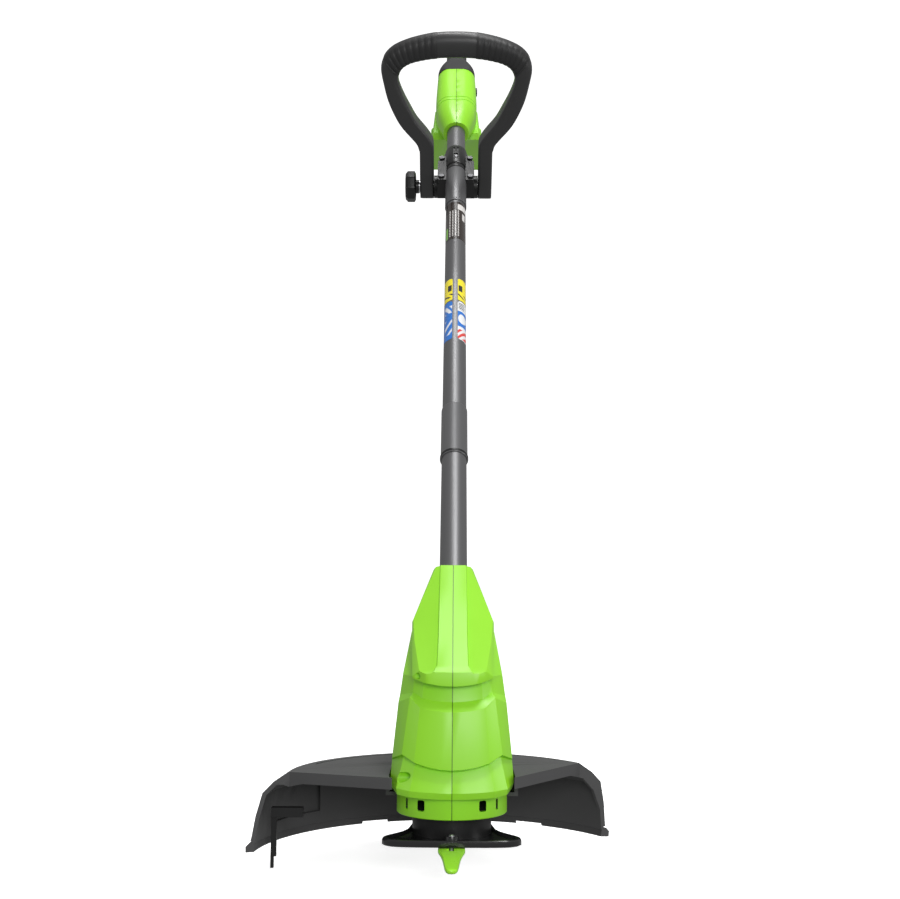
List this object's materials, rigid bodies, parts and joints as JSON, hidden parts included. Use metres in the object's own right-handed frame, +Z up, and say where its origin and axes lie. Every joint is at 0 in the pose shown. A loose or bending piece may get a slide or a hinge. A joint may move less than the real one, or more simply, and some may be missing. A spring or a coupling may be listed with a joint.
{
  "type": "string trimmer",
  "caption": "Battery grass trimmer with tilting shaft-mounted D handle, rear loop grip with trigger, motor head, debris guard and swinging plastic blade.",
  "frame": {"origin": "centre of the cutting disc on the spindle axis", "axes": "+Z up along the spindle, +Y back from the cutting head to the user, +X to the side away from the clamp knob; the shaft leans back from +Z"},
  "size_m": [0.2863, 1.0802, 1.0755],
  "materials": {
    "black_plastic": "fine textured",
    "blade_green": "smooth moulded nylon",
    "board": "circuit board",
    "brass": "plain",
    "cable": "smooth jacket",
    "cell_wrap": "shrink sleeve",
    "dark_steel": "black oxide",
    "green_plastic": "semi-gloss moulded, light spark texture",
    "guard_plastic": "fine textured",
    "iron_core": "laminated",
    "magnet": "ferrite",
    "soft_black": "soft-touch overmould",
    "steel": "zinc plated",
    "tube_grey": "satin powder coat"
  },
  "bodies": {
    "frame": {"bracket_back": "black_plastic", "bracket_front": "black_plastic", "bracket_screws": "steel", "control_board": "board", "coupler_sleeve": "tube_grey", "guard": "guard_plastic", "guard_screws": "steel", "guide_arm": "black_plastic", "lower_bearing": "steel", "lower_tube": "tube_grey", "motor_can": "steel", "motor_cap": "black_plastic", "motor_housing_left": "green_plastic", "motor_housing_right": "green_plastic", "motor_housing_screws": "steel", "motor_magnets": "magnet", "motor_mount": "steel", "motor_mount_screws": "steel", "power_lead": "cable", "power_switch": "black_plastic", "rear_housing_left": "green_plastic", "rear_housing_right": "green_plastic", "rear_housing_screws": "steel", "soft_grip": "soft_black", "terminal_block": "black_plastic", "toothed_washer_left": "black_plastic", "toothed_washer_right": "black_plastic", "trigger_pin": "steel", "upper_bearing": "steel", "upper_tube": "tube_grey"},
    "spindle": {"motor_shaft": "steel", "rotor": "iron_core", "spindle_hub": "black_plastic", "cutting_disc": "black_plastic", "disc_screw": "steel", "blade_pin": "steel"},
    "blade": {"blade": "blade_green"},
    "snap_button": {"snap_button": "steel"},
    "handle": {"d_handle": "black_plastic", "handle_grip_left": "soft_black", "handle_grip_right": "soft_black", "cross_bolt": "dark_steel"},
    "knob_washer": {"knob_washer": "steel"},
    "knob": {"knob": "black_plastic", "knob_nut": "brass"},
    "trigger": {"trigger": "black_plastic"},
    "lock_off": {"lock_off_button": "black_plastic"},
    "battery": {"battery_case": "black_plastic", "battery_lid": "black_plastic", "battery_cells": "cell_wrap", "battery_contacts": "brass"},
    "battery_latch": {"battery_latch": "black_plastic"}
  },
  "joints": [
    {"name": "head_spin", "type": "hinge", "parent": "frame", "child": "spindle", "pos_m": [0, 0, 0], "axis": [0, 0, 1], "continuous": true},
    {"name": "blade_swing", "type": "hinge", "parent": "spindle", "child": "blade", "pos_m": [0, -0.0445, -0.0028], "axis": [0, 0, 1], "range_deg": [-120, 120]},
    {"name": "snap_press", "type": "slide", "parent": "frame", "child": "snap_button", "axis": [0, -0.7431, 0.6691], "range_m": [0, 0.0026], "stiffness_N_per_m": 800},
    {"name": "handle_tilt", "type": "hinge", "parent": "frame", "child": "handle", "pos_m": [0, 0.6005, 0.73404], "axis": [1, 0, 0], "range_deg": [-40, 60]},
    {"name": "washer_ease", "type": "slide", "parent": "handle", "child": "knob_washer", "axis": [-1, 0, 0], "range_m": [0, 0.004]},
    {"name": "knob_turn", "type": "hinge", "parent": "knob_washer", "child": "knob", "pos_m": [-0.058, 0.6005, 0.73404], "axis": [1, 0, 0], "range_deg": [0, 1440]},
    {"name": "trigger_pull", "type": "hinge", "parent": "frame", "child": "trigger", "pos_m": [0, 0.775, 0.94428], "axis": [1, 0, 0], "range_deg": [0, 11], "stiffness_Nm_per_rad": 0.6},
    {"name": "lock_off_press", "type": "slide", "parent": "frame", "child": "lock_off", "axis": [-1, 0, 0], "range_m": [0, 0.003], "stiffness_N_per_m": 400},
    {"name": "battery_slide", "type": "slide", "parent": "frame", "child": "battery", "axis": [0, 0.9472, 0.3206], "range_m": [0, 0.14]},
    {"name": "latch_press", "type": "slide", "parent": "battery", "child": "battery_latch", "axis": [0, 0.3206, -0.9472], "range_m": [0, 0.003], "stiffness_N_per_m": 800}
  ],
  "couplings": [
    {"joint": "washer_ease", "follows": "knob_turn", "m_per_rad": 0.00015915}
  ]
}
